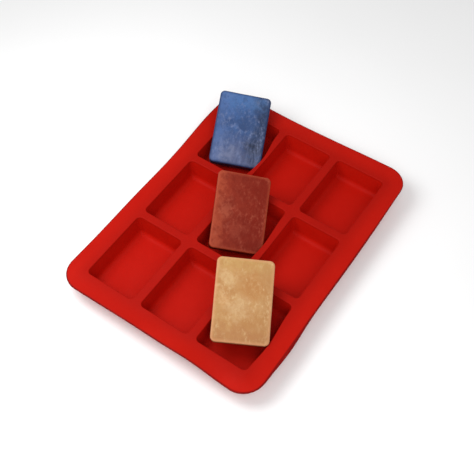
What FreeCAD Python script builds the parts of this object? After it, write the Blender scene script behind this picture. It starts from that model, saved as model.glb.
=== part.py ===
import FreeCAD, Part
import os
import Sketcher

# Nine-cavity silicone mould for bar soap, with three cast bars standing loose in it.
# Frame: origin at the middle of the mould's underside, +X across the short side, +Y along
# the long side, +Z up out of the cavities. All lengths are millimetres, all angles degrees.

# Driving dimensions of the mould and of the bars that are cast in it.
SIZES = {
    "tray_width": 221.0,
    "tray_length": 297.0,
    "tray_corner": 23.0,
    "deck_thickness": 2.5,
    "rim_height": 25.0,
    "cavity_width": 54.0,
    "cavity_length": 79.6,
    "cavity_corner": 4.5,
    "cavity_depth": 23.0,
    "cavity_draft": 5.5,
    "cavity_floor_round": 2.5,
    "rim_round": 0.8,
    "wall_thickness": 2.0,
    "pitch_across": 63.0,
    "pitch_along": 88.0,
    "rows_across": 3,
    "rows_along": 3,
    "bar_width": 54.0,
    "bar_length": 79.6,
    "bar_corner": 5.0,
    "bar_thickness": 15.0,
    "bar_draft": 6.0,
    "bar_poured_edge_round": 1.2,
    "bar_cast_edge_round": 2.5,
    "bar_clearance": 0.4,
}

# Each bar: the column (across) and row (along) of its cavity counted from the middle one, the
# middle of its poured face measured from the middle of the cavity's mouth, and how it is turned
# about Z, tipped about its own Y and then rolled about its own X.
BARS = {
    "honey_soap_bar": {"cell": (1, -1), "shift": (-9.0, 10.6, 16.1), "turn": (31.0, 5.3, 17.7)},
    "brick_soap_bar": {"cell": (0, 0), "shift": (-5.4, 6.3, 11.3), "turn": (31.5, 12.2, 21.0)},
    "blue_soap_bar": {"cell": (-1, 1), "shift": (-2.9, 7.3, 11.7), "turn": (26.1, 7.7, 21.6)},
}

doc = FreeCAD.newDocument("soap_mould")


def make_sheet():
    """The sheet of driving dimensions: one row per size, its name beside its value."""
    sheet = doc.addObject("Spreadsheet::Sheet", "sizes")
    for row, (name, value) in enumerate(SIZES.items(), start=1):
        sheet.set(f"A{row}", name)
        sheet.set(f"B{row}", str(value))
        sheet.setAlias(f"B{row}", name)
    doc.recompute()
    return sheet


def role(body, name):
    """A plane or axis of the body's own origin."""
    return next(item for item in body.Origin.OriginFeatures if item.Role == name)


def rounded_rectangle(body, name, width, length, corner, place):
    """A sketch of a rounded rectangle about its own origin, parallel to the body's XY plane.

    width, length and corner are expressions, and place gives one for any of x, y and z.
    """
    sketch = body.newObject("Sketcher::SketchObject", name)
    sketch.AttachmentSupport = (role(body, "XY_Plane"), [""])
    sketch.MapMode = "FlatFace"
    for letter, expression in place.items():
        sketch.setExpression(f".AttachmentOffset.Base.{letter}", expression)

    half_x, half_y, radius = 30.0, 40.0, 5.0
    flat_x, flat_y = half_x - radius, half_y - radius
    point = FreeCAD.Vector
    sides = [
        (point(-flat_x, -half_y), point(flat_x, -half_y)),
        (point(half_x, -flat_y), point(half_x, flat_y)),
        (point(flat_x, half_y), point(-flat_x, half_y)),
        (point(-half_x, flat_y), point(-half_x, -flat_y)),
    ]
    centres = [(flat_x, -flat_y), (flat_x, flat_y), (-flat_x, flat_y), (-flat_x, -flat_y)]
    lines = [sketch.addGeometry(Part.LineSegment(*ends)) for ends in sides]
    arcs = []
    for quarter, (x, y) in enumerate(centres):
        circle = Part.Circle(point(x, y), point(0, 0, 1), radius)
        start = (quarter - 1) * 90.0
        arc = Part.ArcOfCircle(
            circle,
            FreeCAD.Units.Quantity(f"{start} deg").getValueAs("rad").Value,
            FreeCAD.Units.Quantity(f"{start + 90.0} deg").getValueAs("rad").Value,
        )
        arcs.append(sketch.addGeometry(arc))

    constraint = Sketcher.Constraint
    for index in range(4):
        following = lines[(index + 1) % 4]
        sketch.addConstraint(constraint("Tangent", lines[index], 2, arcs[index], 1))
        sketch.addConstraint(constraint("Tangent", arcs[index], 2, following, 1))
        direction = "Horizontal" if index % 2 == 0 else "Vertical"
        sketch.addConstraint(constraint(direction, lines[index]))
    for arc in arcs[1:]:
        sketch.addConstraint(constraint("Equal", arcs[0], arc))
    sketch.addConstraint(constraint("Symmetric", lines[0], 1, lines[2], 1, -1, 1))
    spans = [
        (constraint("DistanceX", lines[3], 1, lines[1], 1, 2 * half_x), width),
        (constraint("DistanceY", lines[0], 1, lines[2], 1, 2 * half_y), length),
        (constraint("Radius", arcs[0], radius), corner),
    ]
    for item, expression in spans:
        number = sketch.addConstraint(item)
        sketch.setExpression(f"Constraints[{number}]", expression)
    sketch.Visibility = False
    return sketch


def pad(body, name, sketch, length, draft=None, downward=False):
    """A pad of the sketch; a draft makes it narrower towards its far end."""
    feature = body.newObject("PartDesign::Pad", name)
    feature.Profile = sketch
    feature.Reversed = downward
    feature.setExpression("Length", length)
    if draft:
        feature.setExpression("TaperAngle", f"-({draft})")
    return feature


def round_edges(body, name, radius, chosen):
    """A fillet on those edges of the body's tip for which chosen(edge) is true."""
    doc.recompute()
    base = body.Tip
    edges = [f"Edge{i}" for i, edge in enumerate(base.Shape.Edges, start=1) if chosen(edge)]
    fillet = body.newObject("PartDesign::Fillet", name)
    fillet.Base = (base, edges)
    fillet.setExpression("Radius", radius)
    return fillet


def lies_at(height):
    """Picks the edges that lie flat at this height."""
    def chosen(edge):
        box = edge.BoundBox
        return abs(box.ZMin - height) < 1e-4 and abs(box.ZMax - height) < 1e-4
    return chosen


def make_tray():
    """The mould as it is cast: a thin deck with nine drafted cups hanging under it."""
    body = doc.addObject("PartDesign::Body", "tray")

    outline = rounded_rectangle(
        body, "deck_outline", "sizes.tray_width", "sizes.tray_length", "sizes.tray_corner",
        {"z": "sizes.rim_height - sizes.deck_thickness"},
    )
    pad(body, "deck", outline, "sizes.deck_thickness")

    first_cell = {
        "x": "-sizes.pitch_across * (sizes.rows_across - 1) / 2",
        "y": "-sizes.pitch_along * (sizes.rows_along - 1) / 2",
        "z": "sizes.rim_height",
    }
    cup_outline = rounded_rectangle(
        body, "cup_outline",
        "sizes.cavity_width + 2 * sizes.wall_thickness",
        "sizes.cavity_length + 2 * sizes.wall_thickness",
        "sizes.cavity_corner + sizes.wall_thickness",
        first_cell,
    )
    cup = pad(body, "cup", cup_outline, "sizes.rim_height", "sizes.cavity_draft", downward=True)

    mouth = rounded_rectangle(
        body, "cavity_mouth", "sizes.cavity_width", "sizes.cavity_length", "sizes.cavity_corner",
        first_cell,
    )
    cavity = body.newObject("PartDesign::Pocket", "cavity")
    cavity.Profile = mouth
    cavity.setExpression("Length", "sizes.cavity_depth")
    cavity.setExpression("TaperAngle", "-sizes.cavity_draft")

    grid = body.newObject("PartDesign::MultiTransform", "cavity_grid")
    grid.Originals = [cup, cavity]
    steps = []
    for way, axis in (("across", "X_Axis"), ("along", "Y_Axis")):
        step = body.newObject("PartDesign::LinearPattern", f"cavities_{way}")
        step.Direction = (role(body, axis), [""])
        step.setExpression("Occurrences", f"sizes.rows_{way}")
        step.setExpression("Length", f"sizes.pitch_{way} * (sizes.rows_{way} - 1)")
        steps.append(step)
    grid.Transformations = steps
    body.Tip = grid

    rim = SIZES["rim_height"]
    floor = rim - SIZES["cavity_depth"]
    round_edges(body, "cavity_floor_rounds", "sizes.cavity_floor_round", lies_at(floor))
    round_edges(body, "cup_base_rounds", "sizes.cavity_floor_round + sizes.wall_thickness / 2",
                lies_at(0.0))
    round_edges(body, "rim_rounds", "sizes.rim_round", lies_at(rim))
    return body


def bar_placement(bar):
    """Where the bar stands: one end down in its cavity and the other up on the rib behind."""
    column, row = bar["cell"]
    x, y, z = bar["shift"]
    centre = FreeCAD.Vector(
        column * SIZES["pitch_across"] + x,
        row * SIZES["pitch_along"] + y,
        SIZES["rim_height"] + z,
    )
    return FreeCAD.Placement(centre, FreeCAD.Rotation(*bar["turn"]))


def make_block(name, bar, grown="0"):
    """A drafted block like a cast bar, its poured face on top, grown by a gap all round."""
    body = doc.addObject("PartDesign::Body", name)
    outline = rounded_rectangle(
        body, f"{name}_outline",
        f"sizes.bar_width + 2 * ({grown})",
        f"sizes.bar_length + 2 * ({grown})",
        f"sizes.bar_corner + ({grown})",
        {"z": grown},
    )
    pad(body, f"{name}_cast", outline, f"sizes.bar_thickness + 2 * ({grown})",
        "sizes.bar_draft", downward=True)
    return body


def make_bar(name, bar):
    """A cast bar: sharp-edged where it was poured, rounder where it lay on the cavity floor."""
    body = make_block(name, bar)
    round_edges(body, f"{name}_poured_rounds", "sizes.bar_poured_edge_round", lies_at(0.0))
    round_edges(body, f"{name}_cast_rounds", "sizes.bar_cast_edge_round",
                lies_at(-SIZES["bar_thickness"]))
    body.Placement = bar_placement(bar)
    body.Label = name
    return body


def make_dent(name, bar):
    """What the bar's corner presses out of the soft mould, and the bulge that backs it.

    The dent is the bar with a running gap round it, carried straight up from its poured face so
    that the rim leaves the bar's way out free. The bulge is the same block one wall thicker,
    kept to the rib beside the cavity and under the top of the deck.
    """
    dent = make_block(f"{name}_dent", bar, "sizes.bar_clearance")
    way_out = dent.newObject("PartDesign::Pad", f"{name}_way_out")
    way_out.Profile = doc.getObject(f"{name}_dent_outline")
    way_out.UseCustomVector = True
    way_out.Direction = bar_placement(bar).Rotation.inverted().multVec(FreeCAD.Vector(0, 0, 1))
    way_out.AlongSketchNormal = False
    way_out.setExpression("Length", "sizes.rim_height")
    dent.Placement = bar_placement(bar)
    backing = make_block(f"{name}_backing", bar, "sizes.bar_clearance + sizes.wall_thickness")
    backing.Placement = bar_placement(bar)

    column, row = bar["cell"]
    rib = doc.addObject("Part::Box", f"{name}_rib")
    rib.setExpression("Length", "sizes.pitch_across - sizes.cavity_width")
    rib.setExpression("Width", "sizes.cavity_length")
    rib.setExpression("Height", "sizes.rim_height - sizes.deck_thickness / 2")
    rib.setExpression(".Placement.Base.x",
                      f"{column} * sizes.pitch_across + sizes.cavity_width / 2")
    rib.setExpression(".Placement.Base.y",
                      f"{row} * sizes.pitch_along - sizes.cavity_length / 2")
    bulge = doc.addObject("Part::Common", f"{name}_bulge")
    bulge.Base = backing
    bulge.Tool = rib
    return dent, bulge


def make_mould():
    """The tray with the bulges added behind its walls and the dents pressed into them."""
    tray = make_tray()
    pressed = [make_dent(name, bar) for name, bar in BARS.items()]
    backed = doc.addObject("Part::MultiFuse", "tray_with_bulges")
    backed.Shapes = [tray] + [bulge for _, bulge in pressed]
    dents = doc.addObject("Part::MultiFuse", "dents")
    dents.Shapes = [dent for dent, _ in pressed]
    mould = doc.addObject("Part::Cut", "mould")
    mould.Base = backed
    mould.Tool = dents
    mould.Label = "silicone_mould"
    return mould


make_sheet()
subparts = [make_mould()] + [make_bar(name, bar) for name, bar in BARS.items()]
doc.recompute()

for item in doc.Objects:
    if "Invalid" in item.State or "Error" in item.State:
        raise RuntimeError(f"{item.Name} did not recompute: {item.State}")
for item in subparts:
    if item.Shape.isNull() or not item.Shape.isValid() or not item.Shape.Solids:
        raise RuntimeError(f"{item.Label} has no valid solid")

os.makedirs("parts", exist_ok=True)
for item in subparts:
    item.Shape.exportStep(f"parts/{item.Label}.step")
    box = item.Shape.BoundBox
    print(item.Label, len(item.Shape.Solids), "solid", round(item.Shape.Volume / 1000, 1), "cm3",
          [round(value, 2) for value in (box.XMin, box.YMin, box.ZMin, box.XMax, box.YMax, box.ZMax)])
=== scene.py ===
import math

import bmesh
import bpy
import numpy as np
from mathutils import Matrix, Vector, noise


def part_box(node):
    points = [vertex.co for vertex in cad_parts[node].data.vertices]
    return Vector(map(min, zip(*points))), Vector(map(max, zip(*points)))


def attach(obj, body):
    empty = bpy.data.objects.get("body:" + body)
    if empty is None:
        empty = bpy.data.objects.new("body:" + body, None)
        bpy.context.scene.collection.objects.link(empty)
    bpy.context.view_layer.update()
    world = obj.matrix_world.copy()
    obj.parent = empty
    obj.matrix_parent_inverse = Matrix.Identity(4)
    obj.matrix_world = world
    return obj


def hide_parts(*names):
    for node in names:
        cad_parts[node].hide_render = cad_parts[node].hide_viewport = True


# A nine-cavity silicone soap mould with three cast bars standing loose in it.
# Everything is in metres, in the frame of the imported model.

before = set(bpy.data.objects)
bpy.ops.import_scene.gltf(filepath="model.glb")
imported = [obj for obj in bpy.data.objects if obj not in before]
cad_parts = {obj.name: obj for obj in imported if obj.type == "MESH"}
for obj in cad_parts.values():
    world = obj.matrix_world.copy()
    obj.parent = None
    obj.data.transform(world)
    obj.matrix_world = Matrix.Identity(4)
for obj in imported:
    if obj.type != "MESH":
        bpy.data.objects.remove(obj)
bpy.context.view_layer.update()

MM = 0.001
TINY = 1e-6

# --- sizes that repeat the design -------------------------------------------------------
PITCH = (63.0 * MM, 88.0 * MM)
CELLS = (-1, 0, 1)
CAVITY = (54.0 * MM, 79.6 * MM)
CAVITY_CORNER = 4.5 * MM
CAVITY_DEPTH = 23.0 * MM
DRAFT = math.tan(math.radians(5.5))
WALL = 2.0 * MM
DECK = 2.5 * MM
TRAY_CORNER = 23.0 * MM
BAR_CORNER = 5.0 * MM

tray_low, tray_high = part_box("silicone_mould")
TRAY = (tray_high.x - tray_low.x, tray_high.y - tray_low.y)
RIM = tray_high.z

# --- how finely the shapes are divided --------------------------------------------------
CORNER_STEPS = 12
SIDE_STEPS = (14, 20)
ARC_STEPS = 6
LIP_STEPS = 4
FLOOR_RINGS = 8
FLANGE_RINGS = 9
FACE_RINGS = 26
RUN = 2.5 * MM
BAR_RUN = 1.5 * MM
BAR_RING = {"corner_steps": 14, "side_steps": (30, 46)}
WELD = 0.01 * MM


# --- plan outlines ----------------------------------------------------------------------
def rounded_ring(straight, radius, corner_steps=CORNER_STEPS, side_steps=SIDE_STEPS):
    """Points anticlockwise round a rounded rectangle, from the -Y end of its +X side.

    straight is half the length of its straight sides along X and Y.
    """
    points = []
    for quarter in range(4):
        angle = quarter * math.pi / 2
        out = np.array([math.cos(angle), math.sin(angle)])
        along = np.array([-out[1], out[0]])
        half_out = straight[quarter % 2]
        half_along = straight[1 - quarter % 2]
        steps = side_steps[1 - quarter % 2]
        for step in range(steps):
            reach = half_along * (2 * step / steps - 1)
            points.append(out * (half_out + radius) + along * reach)
        centre = out * half_out + along * half_along
        for step in range(corner_steps):
            turn = angle + step / corner_steps * math.pi / 2
            points.append(centre + radius * np.array([math.cos(turn), math.sin(turn)]))
    return np.array(points)


def sides():
    """A rectangle's sides anticlockwise from +X: the way out, the way along, and that axis."""
    for out in ((1, 0), (0, 1), (-1, 0), (0, -1)):
        yield np.array(out), np.array([-out[1], out[0]]), 1 - abs(out[1])


def edge_stations(half, straight, side_steps):
    """Where the lines of a cell's edge start: evenly along its straight part, then to each corner."""
    half_corner = CORNER_STEPS // 2
    ends = np.linspace(straight, half, half_corner + 1)
    side = np.linspace(-straight, straight, side_steps + 1)
    return np.concatenate([-ends[:0:-1], side, ends[1:]])


def cell_ring(straight):
    """A cell's share of the deck, a rectangle with one point for each of a cavity's outline."""
    half_corner = CORNER_STEPS // 2
    half = (PITCH[0] / 2, PITCH[1] / 2)
    points = []
    for out, along, axis in sides():
        stations = edge_stations(half[axis], straight[axis], SIDE_STEPS[axis])[:-1]
        points += [out * half[1 - axis] + along * station for station in stations]
    return np.roll(np.array(points), -half_corner, axis=0)


def rounded_profile(corners, rounds, run=RUN):
    """A polyline of (offset, height) points with its inner corners rounded and its runs divided."""
    corners = [np.array(corner, float) for corner in corners]
    points = [corners[0]]
    for before, corner, after, radius in zip(corners, corners[1:], corners[2:], rounds):
        back = (before - corner) / np.linalg.norm(before - corner)
        ahead = (after - corner) / np.linalg.norm(after - corner)
        half_angle = math.acos(float(np.clip(back @ ahead, -1, 1))) / 2
        tangent = radius / math.tan(half_angle)
        middle = (back + ahead) / np.linalg.norm(back + ahead)
        centre = corner + middle * radius / math.sin(half_angle)
        start = corner + back * tangent - centre
        end = corner + ahead * tangent - centre
        for share in np.linspace(0, 1, ARC_STEPS + 1):
            spoke = start * (1 - share) + end * share
            points.append(centre + spoke / np.linalg.norm(spoke) * radius)
    points.append(corners[-1])

    divided = [points[0]]
    for first, second in zip(points, points[1:]):
        parts = max(1, round(float(np.linalg.norm(second - first)) / run))
        divided += [first + (second - first) * step / parts for step in range(1, parts + 1)]
    return divided


# --- mesh making ------------------------------------------------------------------------
class Skin:
    """Gathers rings of points and the faces between them."""

    def __init__(self):
        self.points = []
        self.faces = []

    def ring(self, plan, height):
        start = len(self.points)
        self.points += [(x, y, height) for x, y in plan]
        return list(range(start, len(self.points)))

    def bridge(self, first, second, flip=False):
        count = len(first)
        for index in range(count):
            after = (index + 1) % count
            face = (first[index], first[after], second[after], second[index])
            self.faces.append(face[::-1] if flip else face)

    def fan(self, ring, centre, flip=False):
        middle = len(self.points)
        self.points.append(centre)
        for index in range(len(ring)):
            face = (ring[index], ring[(index + 1) % len(ring)], middle)
            self.faces.append(face[::-1] if flip else face)

    def loft(self, rings, flip=False):
        for first, second in zip(rings, rings[1:]):
            self.bridge(first, second, flip)

    def mesh(self, name, shape):
        """The welded, smooth mesh, after shape has moved its points."""
        points = shape(np.array(self.points))
        mesh = bpy.data.meshes.new(name)
        mesh.from_pydata(points.tolist(), [], self.faces)
        work = bmesh.new()
        work.from_mesh(mesh)
        bmesh.ops.remove_doubles(work, verts=work.verts, dist=WELD)
        work.to_mesh(mesh)
        work.free()
        mesh.polygons.foreach_set("use_smooth", [True] * len(mesh.polygons))
        mesh.update()
        return mesh


def mesh_points(mesh):
    return np.array([vertex.co for vertex in mesh.vertices], float)


def inside_by(points, half, corner):
    """How far points lie inside a rounded rectangle, seen along Z."""
    past_x = np.abs(points[:, 0]) - (half[0] - corner)
    past_y = np.abs(points[:, 1]) - (half[1] - corner)
    rounded = (past_x > 0) & (past_y > 0)
    return corner - np.where(rounded, np.hypot(past_x, past_y), np.maximum(past_x, past_y))


def mark(mesh, name, values):
    """Keeps one value for each point of the mesh, for its material."""
    attribute = mesh.attributes.new(name, "FLOAT", "POINT")
    attribute.data.foreach_set("value", values.astype(np.float32))


def add_object(name, data, matrix=None):
    """An object for a mesh, a light or a camera, linked into the scene."""
    thing = bpy.data.objects.new(name, data)
    bpy.context.scene.collection.objects.link(thing)
    if matrix is not None:
        thing.matrix_world = matrix
    return thing


# --- the bars ---------------------------------------------------------------------------
BARS = {"honey_soap_bar": "honey_bar", "brick_soap_bar": "brick_bar", "blue_soap_bar": "blue_bar"}
# A face of a CAD bar that points up this much can be its poured face, and points this near to
# the highest one lie in that face.
LEAST_UPWARD = 0.8
FACE_DEPTH = 0.05 * MM


def bar_frame(node):
    """The CAD bar's own frame and size: its poured face is at z = 0, its length along +Y."""
    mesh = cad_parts[node].data
    points = mesh_points(mesh)
    facing = [face for face in mesh.polygons if face.normal.z > LEAST_UPWARD]
    up = np.array(max(facing, key=lambda face: face.area).normal, float)
    top = points[points @ up > (points @ up).max() - FACE_DEPTH]
    spread = np.linalg.eigh(np.cov((top - top.mean(0)).T))[1]
    length_way = spread[:, 2] * math.copysign(1, spread[1, 2])
    width_way = np.cross(length_way, up)
    turn = np.stack([width_way, length_way, up], axis=1)
    local = points @ turn
    low, high = local.min(0), local.max(0)
    origin = turn @ np.array([(low[0] + high[0]) / 2, (low[1] + high[1]) / 2, high[2]])
    matrix = Matrix.Translation(Vector(origin)) @ Matrix(turn.tolist()).to_4x4()
    return matrix, high - low


bar_frames = {node: bar_frame(node) for node in BARS}


# --- the mould's soft shape -------------------------------------------------------------
# The edge that waves, and how much more its outer part strays than its inner part.
FLANGE = 20.0 * MM
FLANGE_CURL = 1.7
BAR_DRAFT = math.tan(math.radians(6.0))
RIB = PITCH[0] - CAVITY[0]

# How near a pressed wall comes to a bar's side and the rim to its underside, and the most that
# the rim sinks.
SIDE_GAP = 0.35 * MM
UNDER_GAP = 0.25 * MM
MOST_SINK = 1.0 * MM
# How far a wall bends along Y and Z round where it is pressed, how far inside the cavity the
# silicone that gives starts, and the share of the push that a rib takes up.
PRESS_SPREAD = np.array([26.0, 9.0]) * MM
PRESS_START = 4.0 * MM
RIB_TAKES = 0.9

# Where the floppy edge strays from the moulded shape, in millimetres: the wave's middle along X
# and Y, how far it spreads, and how the very edge is shifted along X, Y and Z.
WAVES = [
    ((-110.0, 100.0), 38.0, (0.0, 0.0, 4.2)),
    ((-110.0, 20.0), 45.0, (0.0, 0.0, -2.2)),
    ((-110.0, -85.0), 55.0, (0.0, 0.0, -2.0)),
    ((-60.0, -148.0), 50.0, (0.0, 0.0, 1.0)),
    ((-12.0, -148.0), 40.0, (0.0, 0.0, 1.8)),
    ((42.0, -148.0), 22.0, (0.0, 0.0, 2.6)),
    ((92.0, -148.0), 26.0, (0.0, 0.0, -4.0)),
    ((110.0, -88.0), 28.0, (1.9, 0.0, -2.0)),
    ((110.0, 20.0), 60.0, (0.4, 0.0, -1.2)),
    ((105.0, 128.0), 40.0, (-0.6, 0.0, 3.0)),
    ((60.0, 148.0), 30.0, (0.0, 0.0, 0.9)),
    ((-30.0, 148.0), 45.0, (0.0, 0.0, -1.6)),
]


def edge_waves(points):
    """Shifts the flange, which nothing stiffens, in long shallow waves."""
    half_x = TRAY[0] / 2 - FLANGE
    half_y = TRAY[1] / 2 - FLANGE
    past_x = np.clip((np.abs(points[:, 0]) - half_x) / FLANGE, 0, 1)
    past_y = np.clip((np.abs(points[:, 1]) - half_y) / FLANGE, 0, 1)
    reach = np.hypot(past_x, past_y) ** FLANGE_CURL
    shift = np.zeros_like(points)
    for (x, y), spread, way in WAVES:
        away = np.hypot(points[:, 0] - x * MM, points[:, 1] - y * MM)
        shift += np.exp(-(away / (spread * MM)) ** 2)[:, None] * np.array(way) * MM
    return points + shift * reach[:, None]


def bar_planes(size, gap):
    """The faces of a bar, grown by gap, as (outward normal, distance) in its own frame."""
    half_x, half_y, thick = size[0] / 2, size[1] / 2, size[2]
    planes = [((0, 0, 1), gap), ((0, 0, -1), thick + gap)]
    for turn in range(8):
        angle = turn * math.pi / 4
        x, y = math.cos(angle), math.sin(angle)
        reach = ((half_x - BAR_CORNER) * abs(x) + (half_y - BAR_CORNER) * abs(y)) + BAR_CORNER
        normal = np.array([x, y, -BAR_DRAFT])
        length = np.linalg.norm(normal)
        planes.append((tuple(normal / length), (reach + gap) / length))
    return planes


def depth_in_bar(points, matrix, size, gap, way):
    """How far each point must go along way to leave a bar grown by gap; 0 outside it."""
    turn = np.array(matrix.to_3x3())
    local = (points - np.array(matrix.translation)) @ turn
    local_way = np.array(way) @ turn
    inside = np.ones(len(points), bool)
    leave = np.full(len(points), np.inf)
    for normal, distance in bar_planes(size, gap):
        short = distance - local @ np.array(normal)
        inside &= short > 0
        toward = local_way @ np.array(normal)
        if toward > TINY:
            leave = np.minimum(leave, short / toward)
    return np.where(inside, leave, 0.0)


def press_out(points, matrix, size, gap):
    """Pushes the wall on a bar's +X side outwards until the bar's corner clears it."""
    leave = depth_in_bar(points, matrix, size, gap, (1.0, 0.0, 0.0))
    column = round(matrix.translation.x / PITCH[0])
    wall = column * PITCH[0] + CAVITY[0] / 2
    beside = points[:, 0] > wall - PRESS_START
    needed = (leave > 0) & beside
    if not needed.any():
        return points
    pushed = points[needed][:, 1:]
    push = leave[needed]
    near = beside & (points[:, 0] < wall + RIB + WALL)
    near &= np.abs(points[:, 1] - matrix.translation.y) < PITCH[1]
    for index in np.flatnonzero(near):
        away = np.hypot(*((pushed - points[index, 1:]) / PRESS_SPREAD).T)
        amount = (push * np.exp(-away ** 2)).max()
        depth = RIM - points[index, 2]
        past = (points[index, 0] - (wall - depth * DRAFT)) / RIB
        points[index, 0] += amount * float(np.clip(1 - RIB_TAKES * past, 0, 1))
    return points


def press_down(points, matrix, size, gap):
    """Lets the rim under a bar give a little, so that the bar rests on it."""
    leave = depth_in_bar(points, matrix, size, gap, (0.0, 0.0, -1.0))
    points[:, 2] -= np.minimum(leave, MOST_SINK)
    return points


def settle(points):
    """The moulded shape as it lies: flange waved, walls pressed out by the wedged bars."""
    for matrix, size in bar_frames.values():
        points = press_out(points, matrix, size, SIDE_GAP)
        points = press_down(points, matrix, size, UNDER_GAP)
    return edge_waves(points)


# --- the mould --------------------------------------------------------------------------
STRAIGHT = (CAVITY[0] / 2 - CAVITY_CORNER, CAVITY[1] / 2 - CAVITY_CORNER)
LEAST_RADIUS = 0.5 * MM
RIM_ROUND = 1.0 * MM
FLOOR_ROUND = 5.0 * MM
CUP_BASE_ROUND = 3.2 * MM
CUP_ROOT_ROUND = 1.2 * MM
LIP_ROUND = 0.46 * DECK
DECK_RUN = 0.2 * MM
# Where the flat bottoms start, as offsets from the rectangle of the corners' centres.
INSIDE_FLAT = -6.0 * MM
OUTSIDE_FLAT = -4.0 * MM


def cavity_ring(offset):
    """A cavity's outline, this far out from the rectangle of its corners' centres."""
    radius = max(offset, LEAST_RADIUS)
    inner = (STRAIGHT[0] + offset - radius, STRAIGHT[1] + offset - radius)
    return rounded_ring(inner, radius)


def add_cell(skin, centre, profile, deck_height, flip):
    """One side of a cell: its share of the deck, a wall down the profile and a flat bottom."""
    rim_ring = cavity_ring(profile[0][0])
    edge = cell_ring(STRAIGHT)
    rings = [skin.ring(centre + edge + (rim_ring - edge) * share, deck_height)
             for share in (0, 1 / 3, 2 / 3)]
    rings += [skin.ring(centre + cavity_ring(offset), height) for offset, height in profile]
    last_offset, bottom = profile[-1]
    for share in np.linspace(1, 0, FLOOR_RINGS, endpoint=False)[1:]:
        rings.append(skin.ring(centre + cavity_ring(last_offset) * share, bottom))
    skin.loft(rings, flip)
    skin.fan(rings[-1], (*centre, bottom), flip)


def block_edge():
    """The outline of all nine cells together, anticlockwise from its +X, -Y corner."""
    points = []
    half = [PITCH[axis] * len(CELLS) / 2 for axis in (0, 1)]
    for out, along, axis in sides():
        stations = edge_stations(PITCH[axis] / 2, STRAIGHT[axis], SIDE_STEPS[axis])[:-1]
        for cell in CELLS:
            points += [out * half[1 - axis] + along * (cell * PITCH[axis] + station)
                       for station in stations]
    return np.array(points)


def tray_edge(inset):
    """The tray's outline drawn in by inset, with one point for each of block_edge's."""
    half_block = [PITCH[axis] * len(CELLS) / 2 for axis in (0, 1)]
    straight = [TRAY[axis] / 2 - TRAY_CORNER for axis in (0, 1)]
    radius = TRAY_CORNER - inset
    eighth = TRAY_CORNER * math.pi / 4
    points = []
    for x, y in block_edge():
        on_x_side = abs(abs(x) - half_block[0]) < TINY and abs(y) <= half_block[1]
        axis = 1 if on_x_side else 0
        place = y if on_x_side else x
        sign = math.copysign(1, x if on_x_side else y)
        reach = abs(place) / half_block[axis] * (straight[axis] + eighth)
        turn = max(0.0, reach - straight[axis]) / TRAY_CORNER
        along = min(reach, straight[axis]) + radius * math.sin(turn)
        out = straight[1 - axis] + radius * math.cos(turn)
        along = math.copysign(along, place)
        points.append((sign * out, along) if on_x_side else (along, sign * out))
    return np.array(points)


def mould_mesh():
    """The whole moulding as one closed skin: nine cells inside and outside, and the flange."""
    skin = Skin()
    floor = RIM - CAVITY_DEPTH
    deck_under = RIM - DECK

    inside = rounded_profile(
        [(CAVITY_CORNER + RIM_ROUND + DECK_RUN, RIM), (CAVITY_CORNER, RIM),
         (CAVITY_CORNER - CAVITY_DEPTH * DRAFT, floor), (INSIDE_FLAT, floor)],
        [RIM_ROUND, FLOOR_ROUND],
    )
    cup = CAVITY_CORNER + WALL
    outside = rounded_profile(
        [(cup + CUP_ROOT_ROUND + DECK_RUN, deck_under), (cup - DECK * DRAFT, deck_under),
         (cup - RIM * DRAFT, 0.0), (OUTSIDE_FLAT, 0.0)],
        [CUP_ROOT_ROUND, CUP_BASE_ROUND],
    )
    for column in CELLS:
        for row in CELLS:
            centre = np.array([column * PITCH[0], row * PITCH[1]])
            add_cell(skin, centre, inside, RIM, flip=False)
            add_cell(skin, centre, outside, deck_under, flip=True)

    inner = block_edge()
    outer = tray_edge(LIP_ROUND)
    shares = np.linspace(0, 1, FLANGE_RINGS)
    rings = [skin.ring(inner + (outer - inner) * share, RIM) for share in shares]
    turns = np.linspace(0, math.pi / 2, LIP_STEPS + 1)
    for height, way, lip in ((RIM - LIP_ROUND, 1, turns[1:]),
                             (deck_under + LIP_ROUND, -1, turns[::-1])):
        for turn in lip:
            inset = LIP_ROUND * (1 - math.sin(turn))
            rings.append(skin.ring(tray_edge(inset), height + way * LIP_ROUND * math.cos(turn)))
    rings += [skin.ring(inner + (outer - inner) * share, deck_under) for share in shares[-2::-1]]
    skin.loft(rings, flip=True)
    mesh = skin.mesh("silicone_mould_skin", settle)
    mark(mesh, "inset", inside_by(mesh_points(mesh), np.array(TRAY) / 2, TRAY_CORNER))
    return mesh


# --- bars as cast -----------------------------------------------------------------------
# A bar's edges: their rounds, the band of the poured face along its edge, and where the flat
# underside starts, as an offset from the rectangle of its corners' centres.
POURED_EDGE_ROUND = 1.5 * MM
CAST_EDGE_ROUND = 2.4 * MM
EDGE_BAND = 3.5 * MM
UNDERSIDE_FLAT = 0.4 * MM
# How far the middle of the poured face has sunk, and how far under it nothing has.
SUNK = 0.45 * MM
SUNK_SKIN = 2.0 * MM
# The dents all over a bar: their size in metres and depth in millimetres, and how much of a dent
# goes along Z.
BROAD_DENTS = (26 * MM, 0.16)
FINE_DENTS = (7 * MM, 0.05)
UP_SHARE = 0.6
NOISE_OCTAVES = 3
SEED_STEP = 3.7
FINE_SEED = 9
# A bar's painted edge, a painted highlight that is a painted shade on the blue bar, fades out
# over these lengths across its face and down its side, and is half gone one such length from the
# edge.
PAINTED_EDGE_ACROSS = 1.6 * MM
PAINTED_EDGE_DOWN = 2.5 * MM
PAINTED_EDGE_START = 1.5


def wobble(point, scale, seed):
    return noise.fractal(Vector(point) / scale + Vector((seed, 0, 0)), 1.0, 2.0, NOISE_OCTAVES)


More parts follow.
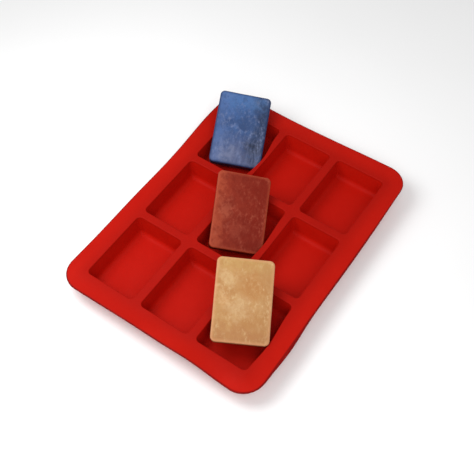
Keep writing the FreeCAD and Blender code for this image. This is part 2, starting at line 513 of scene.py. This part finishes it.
def bar_mesh(name, size, seed):
    """A cast block: a slightly sunken poured face, soft uneven edges and drafted sides."""
    half_x, half_y, thick = size[0] / 2, size[1] / 2, size[2]
    straight = (half_x - BAR_CORNER, half_y - BAR_CORNER)
    inset = thick * BAR_DRAFT
    profile = rounded_profile(
        [(BAR_CORNER - EDGE_BAND, 0.0), (BAR_CORNER, 0.0),
         (BAR_CORNER - inset, -thick), (UNDERSIDE_FLAT, -thick)],
        [POURED_EDGE_ROUND, CAST_EDGE_ROUND], run=BAR_RUN,
    )
    skin = Skin()

    def bar_ring(radius, height, share=1.0):
        inner = (straight[0] * share, straight[1] * share)
        return skin.ring(rounded_ring(inner, radius * share, **BAR_RING), height)

    shares = np.linspace(0, 1, FACE_RINGS, endpoint=False)[1:]
    rings = [bar_ring(profile[0][0], 0.0, share) for share in shares]
    rings += [bar_ring(radius, height) for radius, height in profile]
    rings += [bar_ring(profile[-1][0], -thick, share) for share in shares[::-1]]
    skin.fan(rings[0], (0, 0, 0))
    skin.loft(rings, flip=True)
    skin.fan(rings[-1], (0, 0, -thick), flip=True)

    def cast(points):
        across = np.clip(1 - (points[:, 0] / half_x) ** 2, 0, 1)
        along = np.clip(1 - (points[:, 1] / half_y) ** 2, 0, 1)
        top = np.clip(1 + points[:, 2] / SUNK_SKIN, 0, 1)
        points[:, 2] -= SUNK * top * np.sqrt(across * along)
        for index, point in enumerate(points):
            rough = wobble(point, BROAD_DENTS[0], seed) * BROAD_DENTS[1]
            rough += wobble(point, FINE_DENTS[0], seed + FINE_SEED) * FINE_DENTS[1]
            outward = point * np.array([1 / half_x, 1 / half_y, 0.0])
            outward[2] = UP_SHARE if point[2] > -thick / 2 else -UP_SHARE
            points[index] -= abs(rough) * MM * outward / np.linalg.norm(outward)
        return points

    return skin.mesh(name, cast)


def mark_painted_edge(mesh, size):
    """Marks the poured face's edge, which gets a painted highlight, and a painted shade on the blue
    bar.
    """
    points = mesh_points(mesh)
    inside = inside_by(points, size[:2] / 2, BAR_CORNER)
    rim = np.clip(PAINTED_EDGE_START - inside / PAINTED_EDGE_ACROSS, 0, 1)
    upper = np.clip(PAINTED_EDGE_START + points[:, 2] / PAINTED_EDGE_DOWN, 0, 1)
    mark(mesh, "edge", rim * upper)


# --- materials --------------------------------------------------------------------------
class Finish:
    """A material with short calls for its nodes; each returns the socket to link onward."""

    def __init__(self, name):
        self.material = bpy.data.materials.new(name)
        self.material.use_nodes = True
        self.tree = self.material.node_tree
        self.shader = self.tree.nodes["Principled BSDF"]
        self.place = self.tree.nodes.new("ShaderNodeTexCoord").outputs["Object"]

    def put(self, socket, value):
        if isinstance(value, bpy.types.NodeSocket):
            self.tree.links.new(value, socket)
        else:
            socket.default_value = value

    def set(self, **values):
        for name, value in values.items():
            self.put(self.shader.inputs[name.replace("_", " ")], value)

    def stretched(self, x, y, z):
        node = self.tree.nodes.new("ShaderNodeMapping")
        node.inputs["Scale"].default_value = (x, y, z)
        self.put(node.inputs["Vector"], self.place)
        return node.outputs["Vector"]

    def moved(self, x, y):
        """The place shifted by (x, y) and flattened along Z."""
        node = self.tree.nodes.new("ShaderNodeMapping")
        node.inputs["Location"].default_value = (x, y, 0.0)
        node.inputs["Scale"].default_value = (1.0, 1.0, 0.0)
        self.put(node.inputs["Vector"], self.place)
        return node.outputs["Vector"]

    def noise(self, size, detail=4.0, roughness=0.55, distortion=0.0, vector=None):
        """Noise whose features are about this size, in metres."""
        node = self.tree.nodes.new("ShaderNodeTexNoise")
        self.put(node.inputs["Vector"], vector or self.place)
        node.inputs["Scale"].default_value = 1 / size
        node.inputs["Detail"].default_value = detail
        node.inputs["Roughness"].default_value = roughness
        node.inputs["Distortion"].default_value = distortion
        return node.outputs["Fac"]

    def between(self, value, low, high, to_low=0.0, to_high=1.0):
        node = self.tree.nodes.new("ShaderNodeMapRange")
        node.interpolation_type = "SMOOTHSTEP"
        names = ("Value", "From Min", "From Max", "To Min", "To Max")
        for name, item in zip(names, (value, low, high, to_low, to_high)):
            self.put(node.inputs[name], item)
        return node.outputs["Result"]

    def blend(self, share, first, second):
        node = self.tree.nodes.new("ShaderNodeMix")
        node.data_type = "RGBA"
        self.put(node.inputs["Factor"], share)
        self.put(node.inputs[6], first)
        self.put(node.inputs[7], second)
        return node.outputs[2]

    def maths(self, operation, first, second):
        node = self.tree.nodes.new("ShaderNodeMath")
        node.operation = operation
        self.put(node.inputs[0], first)
        self.put(node.inputs[1], second)
        return node.outputs[0]

    def axis(self, name):
        node = self.tree.nodes.new("ShaderNodeSeparateXYZ")
        self.put(node.inputs[0], self.place)
        return node.outputs[name]

    def distance(self, x, y):
        """How far away a point is from (x, y), looking along Z."""
        node = self.tree.nodes.new("ShaderNodeVectorMath")
        node.operation = "LENGTH"
        self.put(node.inputs[0], self.moved(-x, -y))
        return node.outputs["Value"]

    def attribute(self, name):
        node = self.tree.nodes.new("ShaderNodeAttribute")
        node.attribute_name = name
        return node.outputs["Fac"]

    def bump(self, height, distance, strength=1.0, base=None):
        node = self.tree.nodes.new("ShaderNodeBump")
        node.inputs["Distance"].default_value = distance
        node.inputs["Strength"].default_value = strength
        self.put(node.inputs["Height"], height)
        if base:
            self.put(node.inputs["Normal"], base)
        return node.outputs["Normal"]


def colour(red, green, blue):
    """A display colour, 0 to 255, as the linear colour that a shader takes."""
    def linear(value):
        share = value / 255
        return share / 12.92 if share <= 0.04045 else ((share + 0.055) / 1.055) ** 2.4
    return (linear(red), linear(green), linear(blue), 1.0)


def silicone():
    """Red cast silicone: matte, faintly translucent, with a fine moulded grain and light dust.

    The deck between and round the cavities is painted darker than the flange, and the cups' walls
    and floors paler, as painted light and shade in place of light let through the thin silicone
    from what it lies on; a painted shade darkens the outer lip.
    """
    finish = Finish("red_silicone")
    broad = finish.between(finish.noise(0.09, 3), 0.35, 0.65)
    base = finish.blend(broad, colour(169, 17, 6), colour(176, 20, 8))
    from_edge = finish.attribute("inset")
    # Painted shade: the deck between and round the cavities is painted darker than the flange.
    painted_deck_shade = finish.between(from_edge, 6 * MM, 24 * MM)
    base = finish.blend(painted_deck_shade, base, colour(153, 15, 6))
    height = finish.axis("Z")
    # Painted light: below the rim the cups' walls are painted paler, in place of light let through
    # the thin silicone.
    cup = finish.between(height, RIM - 0.4 * MM, RIM - 3 * MM)
    base = finish.blend(cup, base, colour(181, 20, 8))
    # Painted light: low down the floors are painted slightly less pale than the walls, still paler
    # than the deck.
    floor = finish.between(height, 9 * MM, 3 * MM)
    base = finish.blend(floor, base, colour(173, 18, 7))
    # Painted shade: a dark line along the rounded outer lip.
    lip = finish.between(from_edge, 1.8 * MM, 0.4 * MM, 0.0, 0.85)
    base = finish.blend(lip, base, colour(96, 8, 8))
    patch = finish.between(finish.noise(0.012, 5, 0.6), 0.35, 0.7, 0.0, 0.35)
    base = finish.blend(patch, base, colour(166, 16, 5))
    dust = finish.between(finish.noise(0.0011, 2, 0.5), 0.68, 0.78, 0.0, 0.18)
    base = finish.blend(dust, base, colour(196, 56, 42))
    finish.set(
        Base_Color=base,
        Roughness=finish.between(finish.noise(0.02, 6, 0.65), 0.3, 0.7, 0.50, 0.64),
        IOR=1.41,
        Specular_IOR_Level=0.08,
        Subsurface_Weight=0.06,
        Subsurface_Radius=(1.0, 0.12, 0.06),
        Subsurface_Scale=0.002,
        Normal=finish.bump(
            finish.noise(0.0006, 3), 0.00006, 0.4,
            finish.bump(finish.noise(0.018, 3), 0.0006, 0.3),
        ),
    )
    return finish.material


def soap(name, base, pale, deep, edge, side, fades=(), spots=(), streaks=0.0):
    """Cast soap: clouded and mottled, waxy, with fine pits, a painted highlight along its edges
    (a painted shade on the blue bar) and painted shade down its sides.

    fades are (axis, from, to, colour, strength) and spots are (x, y, radius, colour, strength),
    both in millimetres on the bar's face and both broken up by noise.
    """
    finish = Finish(name)
    clouds = finish.between(finish.noise(0.028, 5, 0.6, 0.6), 0.36, 0.64)
    tone = finish.blend(clouds, base, deep)
    ragged = finish.between(finish.noise(0.010, 6, 0.65, 0.4), 0.25, 0.75, -6 * MM, 6 * MM)
    # The fades paint light and shade: every bar is painted darker towards +X, and the blue bar
    # carries a painted sheen along Y.
    for way, start, end, tint, strength in fades:
        place = finish.maths("ADD", finish.axis(way), ragged)
        share = finish.between(place, start * MM, end * MM, 0.0, strength)
        tone = finish.blend(share, tone, tint)
    for x, y, radius, tint, strength in spots:
        away = finish.maths("ADD", finish.distance(x * MM, y * MM), ragged)
        share = finish.between(away, radius * MM, 0.2 * radius * MM, 0.0, strength)
        tone = finish.blend(share, tone, tint)
    smears = finish.noise(0.0042, 8, 0.72, 0.15, finish.stretched(1.0, 0.6, 1.0))
    held = finish.between(finish.noise(0.016, 4, 0.6), 0.38, 0.62, 0.15, 1.0)
    mottles = finish.maths("MULTIPLY", finish.between(smears, 0.46, 0.72, 0.0, 0.85), held)
    tone = finish.blend(mottles, tone, pale)
    stains = finish.between(finish.noise(0.006, 7, 0.7, 0.3), 0.36, 0.52, 0.45, 0.0)
    tone = finish.blend(stains, tone, deep)
    if streaks:
        lines = finish.noise(0.0075, 6, 0.7, 0.5, finish.stretched(1.0, 0.22, 1.0))
        lower = finish.between(finish.maths("ADD", finish.axis("Y"), ragged), 8 * MM, -34 * MM)
        share = finish.maths("MULTIPLY", finish.between(lines, 0.42, 0.68), lower)
        tone = finish.blend(finish.maths("MULTIPLY", share, streaks), tone, pale)
    specks = finish.between(finish.noise(0.0016, 3, 0.6), 0.60, 0.74, 0.0, 0.28)
    tone = finish.blend(specks, tone, pale)
    # The edge tone is a painted highlight, and a painted shade on the blue bar.
    painted_edge_share = finish.attribute("edge")
    tone = finish.blend(finish.maths("MULTIPLY", painted_edge_share, 0.8), tone, edge)
    # Painted shade: the sides below the poured face take each soap's darker side colour, the look of
    # sides turned away from the light.
    side_shade_share = finish.between(finish.axis("Z"), -1.2 * MM, -3.0 * MM)
    tone = finish.blend(side_shade_share, tone, finish.blend(clouds, side, deep))
    pits = finish.between(finish.noise(0.0024, 4, 0.6), 0.30, 0.42)
    finish.set(
        Base_Color=tone,
        Roughness=finish.between(finish.noise(0.006, 5), 0.3, 0.7, 0.42, 0.62),
        IOR=1.45,
        Specular_IOR_Level=0.14,
        Subsurface_Weight=0.08,
        Subsurface_Radius=(1.0, 0.6, 0.35),
        Subsurface_Scale=0.0012,
        Normal=finish.bump(
            pits, 0.00012, 0.5,
            finish.bump(finish.noise(0.007, 6, 0.6), 0.0005, 0.5),
        ),
    )
    return finish.material


# Each soap's edge colour is a painted highlight (a painted shade on the blue bar), its side colour
# the painted shade of its sides, and its fades along X painted shade, darker towards +X; the blue
# bar's fades along Y are a painted sheen.
SOAPS = {
    "honey_soap_bar": {
        "base": colour(178, 136, 88), "deep": colour(168, 121, 74),
        "pale": colour(201, 169, 125), "edge": colour(199, 144, 104), "side": colour(145, 84, 46),
        "fades": [("Y", -14, -38, colour(162, 111, 71), 0.8),
                  ("Y", 22, 38, colour(178, 143, 87), 0.6),
                  # Painted shade: darker towards +X.
                  ("X", 8, 26, colour(160, 113, 71), 0.45)],
        "spots": [(8, 12, 17, colour(166, 113, 64), 0.7),
                  (-17, 20, 12, colour(199, 168, 124), 0.5),
                  (-20, 2, 12, colour(201, 160, 114), 0.5),
                  (-3, -7, 15, colour(195, 162, 120), 0.55),
                  (16, -6, 8, colour(183, 144, 100), 0.4)],
    },
    "brick_soap_bar": {
        "base": colour(125, 38, 22), "deep": colour(108, 27, 13),
        "pale": colour(153, 72, 53), "edge": colour(155, 64, 40), "side": colour(82, 19, 10),
        # Painted shade: darker towards +X and paler towards -X.
        "fades": [("X", -6, 18, colour(110, 21, 6), 0.8),
                  ("X", -10, -27, colour(157, 68, 44), 0.85)],
        "spots": [(-15, 2, 12, colour(153, 74, 53), 0.55),
                  (-2, -18, 12, colour(135, 54, 38), 0.5)],
    },
    "blue_soap_bar": {
        "base": colour(62, 90, 138), "deep": colour(48, 68, 108),
        "pale": colour(114, 124, 156), "edge": colour(28, 40, 78), "side": colour(20, 25, 54),
        # Painted sheen along Y: paler towards +Y, greyer towards -Y; painted shade along X: paler
        # towards -X, darker towards +X.
        "fades": [("Y", 14, 34, colour(70, 104, 154), 0.85),
                  ("Y", 4, -34, colour(80, 85, 113), 0.85),
                  ("X", -6, -24, colour(78, 102, 150), 0.55),
                  ("X", 4, 22, colour(38, 45, 66), 0.8)],
        "spots": [(4, 6, 13, colour(42, 56, 88), 0.6),
                  (-10, -30, 13, colour(110, 116, 142), 0.6),
                  (18, -19, 15, colour(28, 32, 46), 0.75),
                  (14, 31, 11, colour(72, 102, 146), 0.6)],
        "streaks": 0.4,
    },
}


# --- the pieces -------------------------------------------------------------------------
mould = add_object("mould", mould_mesh())
mould.data.materials.append(silicone())
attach(mould, "mould")
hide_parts("silicone_mould")

for seed, (node, body) in enumerate(BARS.items(), start=1):
    matrix, size = bar_frames[node]
    mesh = bar_mesh(f"{node}_cast", size, seed * SEED_STEP)
    mark_painted_edge(mesh, size)
    mesh.materials.append(soap(f"{body}_soap", **SOAPS[node]))
    bar = add_object(body, mesh, matrix)
    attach(bar, body)
    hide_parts(node)


# --- floor, light and camera ------------------------------------------------------------
# The floor is just under the cups, so that it and their bottoms don't lie in one plane.
FLOOR_REACH = 6.0
FLOOR_HEIGHT = -0.05 * MM
SKY_STRENGTH = 0.48


def pale_floor():
    finish = Finish("pale_floor")
    shade = finish.between(finish.noise(0.3, 2), 0.3, 0.7)
    finish.set(Base_Color=finish.blend(shade, (0.93, 0.93, 0.93, 1), (0.95, 0.95, 0.95, 1)),
               Roughness=0.8)
    mesh = bpy.data.meshes.new("floor")
    corners = [(x * FLOOR_REACH, y * FLOOR_REACH, FLOOR_HEIGHT)
               for x, y in ((-1, -1), (1, -1), (1, 1), (-1, 1))]
    mesh.from_pydata(corners, [], [(0, 1, 2, 3)])
    mesh.materials.append(finish.material)
    add_object("floor", mesh)


def facing(place, way):
    """Where a light or camera stands that looks this way, with Y as its upper side."""
    return Matrix.Translation(place) @ way.to_track_quat("-Z", "Y").to_matrix().to_4x4()


def soft_light(name, place, width, watts):
    """A square area light that faces the mould's middle."""
    data = bpy.data.lights.new(name, "AREA")
    data.size = width
    data.energy = watts
    add_object(name, data, facing(Vector(place), Vector((0, 0, RIM)) - Vector(place)))


CAMERA_DISTANCE = 797.9 * MM
CAMERA_TURN = math.radians(-56.75)
CAMERA_RISE = math.radians(55.5)
CAMERA_ROLL = math.radians(1.24)
CAMERA_LENS = 62.14
AIM_OFFSET = Vector((4.2, -13.9, 0.0)) * MM


def add_camera():
    aim = Vector((0, 0, RIM)) + AIM_OFFSET
    level = math.cos(CAMERA_RISE)
    toward = Vector((level * math.cos(CAMERA_TURN), level * math.sin(CAMERA_TURN),
                     math.sin(CAMERA_RISE)))
    data = bpy.data.cameras.new("camera")
    data.lens = CAMERA_LENS
    roll = Matrix.Rotation(CAMERA_ROLL, 4, "Z")
    place = facing(aim + toward * CAMERA_DISTANCE, -toward) @ roll
    bpy.context.scene.camera = add_object("camera", data, place)


def add_sky():
    """An even white light from all round."""
    world = bpy.data.worlds.new("studio")
    world.use_nodes = True
    sky = world.node_tree.nodes["Background"]
    sky.inputs["Color"].default_value = (1.0, 1.0, 1.0, 1.0)
    sky.inputs["Strength"].default_value = SKY_STRENGTH
    bpy.context.scene.world = world


pale_floor()
soft_light("key", place=(0.90, -0.95, 1.70), width=1.5, watts=21.0)
soft_light("fill", place=(-0.17, -0.15, 0.44), width=0.3, watts=1.6)
add_sky()
bpy.context.scene.view_settings.view_transform = "Standard"
add_camera()
